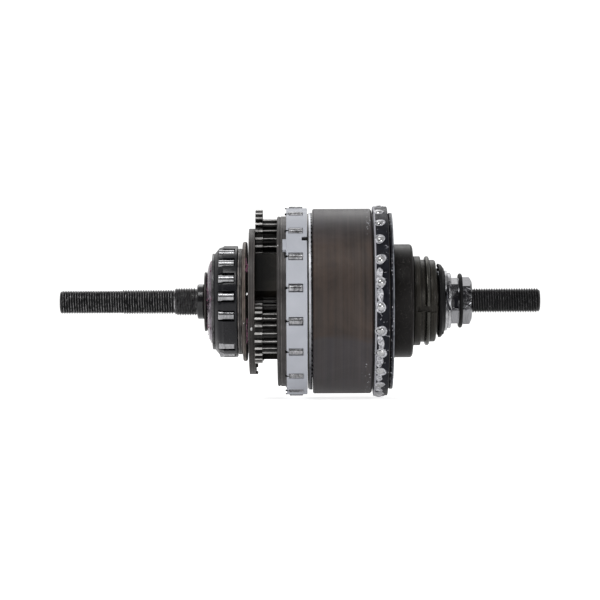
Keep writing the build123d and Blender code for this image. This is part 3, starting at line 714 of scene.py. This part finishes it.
def ball_grease(bm, rnd):
    """Halos round the balls, and smears between them from the near side down to the lowest ball."""
    step = 360 / BALLS
    for k in range(BALLS):
        angle = FIRST_BALL_AT + step * k
        halo(bm, rnd, BALL_ROW_AT, 36.75, angle, 1.75, 0.42)
        between = (angle + step / 2 + 180) % 360 - 180
        if -30 < between < 8 or 25 < between < 150:
            for _ in range(3):
                shift = rnd.uniform(-1.6, 1.6)
                s = 30.3 + rnd.uniform(-0.5, 0.3)
                lump(bm, rnd, s, 36.7, between + shift, 1.15, rnd.uniform(1.5, 3.0), 0.35)


def top_smear(bm, rnd):
    """The thick smear on the highest balls."""
    for angle, along, around in ((-94, 2.1, 3.0), (-88, 1.7, 2.6), (-99, 1.5, 2.2)):
        lump(bm, rnd, 30.6, 36.5, angle, along, around, 0.7, 0.2)


def seal_flecks(bm, rnd):
    """Flecks of grease above the driver's seal."""
    for _ in range(12):
        size = rnd.uniform(0.2, 0.5)
        lump(bm, rnd, rnd.uniform(53.2, 55.2), 13.4, rnd.uniform(-75, -35), size * 0.8, size, 0.3)


def seal_ears(bm, rnd):
    """The seal's two small ears and the uneven lip between them."""
    for angle, s, size in ((-91, 53.9, 0.85), (88, 54.2, 0.9)):
        lump(bm, rnd, s, 13.6, angle, size * 0.7, size, 0.75, 0.15)
    for k in range(26):
        angle = k * 360 / 26 + rnd.uniform(-5, 5)
        s = rnd.uniform(54.0, 54.9)
        lump(bm, rnd, s, 13.5, angle, rnd.uniform(0.4, 0.8), rnd.uniform(0.9, 1.8), 0.55)


def rim_flecks(bm, rnd):
    """Small dried flecks along the dust disc and the drum's right edge."""
    for _ in range(46):
        angle = rnd.uniform(-60, 200)
        size = rnd.uniform(0.12, 0.42)
        lump(bm, rnd, rnd.uniform(34.4, 35.7), 34.28, angle, size * 0.6, size, 0.08)
    for _ in range(40):
        angle = rnd.choice((rnd.uniform(-80, -40), rnd.uniform(40, 95)))
        size = rnd.uniform(0.1, 0.3)
        lump(bm, rnd, 27.0 - abs(rnd.gauss(0, 1.1)), 35.98, angle, size, size, 0.06)


def pink_smears(bm, rnd):
    """Pink assembly grease in the gap between the friction disc and the carrier's plate."""
    for middle in (-42, -36, -28, 22, 32, 40, 120, 205):
        for _ in range(3):
            around = rnd.uniform(0.6, 1.9)
            s = rnd.uniform(-20.6, -20.1)
            radius = rnd.uniform(23.0, 23.6)
            lump(bm, rnd, s, radius, middle + rnd.uniform(-5, 5), 0.17, around, 0.2)


def dome_drops(bm, rnd):
    """Pink and clear drops on the domed cap."""
    for _ in range(40):
        angle = rnd.uniform(0, 360)
        s, radius = rnd.choice(((-34.6, 16.0), (-35.3, 14.6), (-35.8, 12.8)))
        size = rnd.uniform(0.15, 0.5)
        lump(bm, rnd, s, radius, angle, size * 0.4, size, 0.2)


def white_dots(bm, rnd):
    """A few round dots of white grease on the discs' edges."""
    for s, radius, angle, size in ((-20.1, 28.3, -6, 0.45), (-18.4, 28.4, 22, 0.75), (-21.5, 23.2, 21, 0.3)):
        lump(bm, rnd, s, radius, angle, size * 0.7, size, 0.25)


def ring_dot(bm, rnd):
    """One small dot of white grease on the output ring's edge."""
    lump(bm, rnd, -8.3, 33.0, -40, 0.21, 0.3, 0.25)


def wedge(bm, angle, low, high, radius, halves, proud):
    """A small dark tongue, a sheet of painted shade, with its own half width at its low and its high end."""
    corners = []
    for s, width in ((low, halves[0]), (high, halves[1])):
        for side in (-1, 1):
            spread = side * math.degrees(width / radius)
            corners += [at(s, radius - 0.4, angle + spread), at(s, radius + proud, angle + spread * 0.8)]
    v = [bm.verts.new(corner) for corner in corners]
    for face in ((0, 1, 3, 2), (4, 6, 7, 5), (0, 4, 5, 1), (2, 3, 7, 6), (1, 5, 7, 3), (0, 2, 6, 4)):
        bm.faces.new([v[k] for k in face])


def painted_slot_shade(bm, rnd):
    """Black sheets of painted shade in the slots that run from the cage's left edge to each window, and in
    its one deep notch.
    """
    for k in range(WINDOWS):
        size = rnd.uniform(0.5, 0.65)
        angle = FIRST_WINDOW_AT + 360 / WINDOWS * k
        wedge(bm, angle, -5.75, -4.85, CAGE_R, (size, size * 0.6), 0.06)
        wedge(bm, angle, -4.9, -4.1, CAGE_R, (0.28, 0.24), 0.04)
    wedge(bm, -41, 0.75, 2.9, CAGE_R, (0.6, 0.85), 0.05)


def pieces():
    threaded_axle()
    grease_piece("ball_row_grease", SILVER_GREASE, "large_ball_row", ball_grease)
    grease_piece("rim_grease", SILVER_GREASE, "driver", rim_flecks)
    grease_piece("plate_grease", PINK_GREASE, "planet_carrier", pink_smears)
    grease_piece("dome_grease", PINK_GREASE, "planet_carrier", dome_drops)
    grease_piece("top_grease", SILVER_GREASE, "large_ball_row", top_smear)
    grease_piece("seal_grease", SILVER_GREASE, "driver", seal_flecks)
    grease_piece("seal_lip", MATERIALS["black_rubber"], "driver", seal_ears)
    # Painted shade: black sheets in the large cage's slots and notch.
    grease_piece("cage_slots", MATERIALS["black_rubber"], "large_clutch", painted_slot_shade)
    grease_piece("dot_grease", WHITE_GREASE, "planet_carrier", white_dots)
    grease_piece("ring_dot_grease", WHITE_GREASE, "output_ring", ring_dot)


# ---- Stage, light and camera ----


def floor():
    """A pale floor that the hub gear lies on."""
    half = 6.0
    mesh = bpy.data.meshes.new("floor")
    z = CAD_BOX[0][2] - 0.0002
    corners = [(-half, -half, z), (half, -half, z), (half, half, z), (-half, half, z)]
    mesh.from_pydata(corners, [], [(0, 1, 2, 3)])
    obj = bpy.data.objects.new("floor", mesh)
    bpy.context.scene.collection.objects.link(obj)
    n = Nodes("floor_paint", Roughness=0.8, Specular_IOR_Level=0.1)
    seen = n.add("ShaderNodeLightPath").outputs["Is Camera Ray"]
    n.to("Emission Strength", n.span(seen, 0, 1, 0.38, 0.75))
    n.to("Base Color", n.mix(n.noise(n.place, 3.0), (0.8, 0.8, 0.8), (0.84, 0.84, 0.84)))
    n.shader.inputs["Emission Color"].default_value = (1, 1, 1, 1)
    mesh.materials.append(n.material)


def area_light(name, place, size, power):
    light = bpy.data.lights.new(name, "AREA")
    light.shape = "RECTANGLE"
    light.size, light.size_y = size
    light.energy = power
    obj = bpy.data.objects.new(name, light)
    obj.location = place
    obj.rotation_euler = (-Vector(place)).to_track_quat("-Z", "Y").to_euler()
    bpy.context.scene.collection.objects.link(obj)


def world(strength, shown):
    """Soft light from all round, dim on the camera's side, and a plain white view of the sky."""
    scene = bpy.context.scene
    scene.world = bpy.data.worlds.new("studio")
    scene.world.use_nodes = True
    tree = scene.world.node_tree
    tree.nodes.clear()
    place = tree.nodes.new("ShaderNodeTexCoord")
    split = tree.nodes.new("ShaderNodeSeparateXYZ")
    tree.links.new(place.outputs["Generated"], split.inputs[0])
    grade = tree.nodes.new("ShaderNodeMapRange")
    grade.inputs["From Min"].default_value = -1.0
    grade.inputs["From Max"].default_value = -0.1
    grade.inputs["To Min"].default_value = 0.22
    grade.inputs["To Max"].default_value = 1.0
    grade.interpolation_type = "SMOOTHSTEP"
    tree.links.new(split.outputs[0], grade.inputs["Value"])
    above = tree.nodes.new("ShaderNodeMapRange")
    above.inputs["From Min"].default_value = 0.1
    above.inputs["From Max"].default_value = 1.0
    above.inputs["To Min"].default_value = 1.0
    above.inputs["To Max"].default_value = 0.72
    tree.links.new(split.outputs[2], above.inputs["Value"])
    both = tree.nodes.new("ShaderNodeMath")
    both.operation = "MULTIPLY"
    tree.links.new(grade.outputs[0], both.inputs[0])
    tree.links.new(above.outputs[0], both.inputs[1])
    colour = tree.nodes.new("ShaderNodeCombineXYZ")
    for socket in colour.inputs:
        tree.links.new(both.outputs[0], socket)
    lit = tree.nodes.new("ShaderNodeBackground")
    lit.inputs["Strength"].default_value = strength
    tree.links.new(colour.outputs[0], lit.inputs["Color"])
    seen = tree.nodes.new("ShaderNodeBackground")
    seen.inputs["Color"].default_value = (1, 1, 1, 1)
    seen.inputs["Strength"].default_value = shown
    path = tree.nodes.new("ShaderNodeLightPath")
    mix = tree.nodes.new("ShaderNodeMixShader")
    out = tree.nodes.new("ShaderNodeOutputWorld")
    tree.links.new(path.outputs["Is Camera Ray"], mix.inputs[0])
    tree.links.new(lit.outputs[0], mix.inputs[1])
    tree.links.new(seen.outputs[0], mix.inputs[2])
    tree.links.new(mix.outputs[0], out.inputs[0])


def camera():
    """Square to the axle from the side, one metre away, rolled a quarter of a degree."""
    distance, seen_width, roll = 1.0, 0.2342, math.radians(0.25)
    data = bpy.data.cameras.new("camera")
    data.sensor_width = 36.0
    data.lens = data.sensor_width * distance / seen_width
    obj = bpy.data.objects.new("camera", data)
    turn = Vector((1, 0, 0)).to_track_quat("-Z", "Y").to_matrix().to_4x4()
    obj.matrix_world = Matrix.Translation((-distance, 0, 0.0005)) @ turn @ Matrix.Rotation(-roll, 4, "Z")
    bpy.context.scene.collection.objects.link(obj)
    bpy.context.scene.camera = obj


dress_frame()
pieces()
floor()
world(0.72, 1.15)
area_light("key", (-0.7, 0.3, 1.0), (0.5, 0.5), 4.6)
area_light("fill", (-1.1, -0.5, 0.25), (0.35, 0.5), 3.2)
area_light("back", (0.8, 0.1, 0.9), (0.9, 0.7), 3.3)
camera()
bpy.context.scene.view_settings.view_transform = "Standard"
